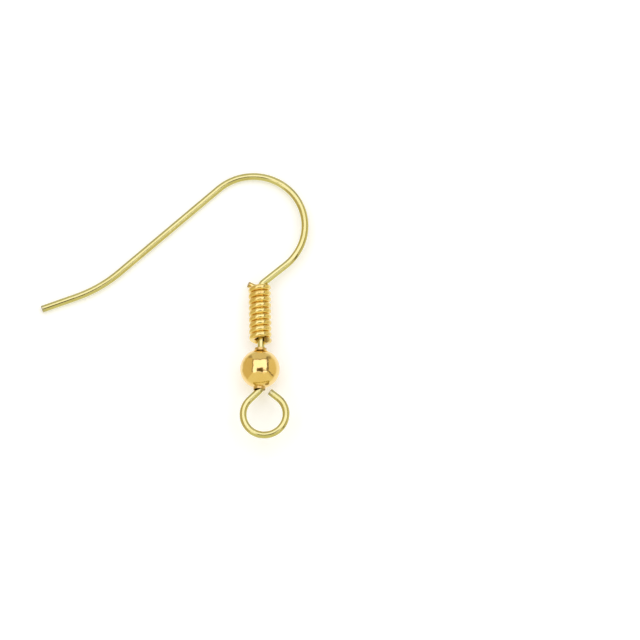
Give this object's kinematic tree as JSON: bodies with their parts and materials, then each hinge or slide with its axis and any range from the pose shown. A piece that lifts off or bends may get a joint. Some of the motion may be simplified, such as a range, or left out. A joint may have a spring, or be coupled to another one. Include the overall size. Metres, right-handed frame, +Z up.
{
  "type": "ear wire",
  "caption": "Fish-hook ear wire with a round bow, a long flicked leg, a wound coil and a round ball on the shank, and an open loop for a pendant.",
  "frame": {"origin": "the middle of the outline, on the surface that the ear wire lies on", "axes": "+Z up from the surface; +Y from the loop's end towards the bow; +X towards the right as the ear wire is seen from above with the bow up, its leg pointing left"},
  "size_m": [0.0201, 0.0206, 0.003],
  "materials": {
    "wire": "gold plated, polished, with fine drawing marks",
    "coil": "gold plated, polished",
    "ball": "gold plated, mirror polish"
  },
  "bodies": {
    "wire": {"ear_wire": "wire", "coil": "coil"},
    "ball": {"ball": "ball"}
  },
  "joints": [
    {"name": "ball_slide", "type": "slide", "parent": "wire", "child": "ball", "axis": [0.002, 0.9972, -0.0754], "range_m": [0, 0.00029]}
  ]
}
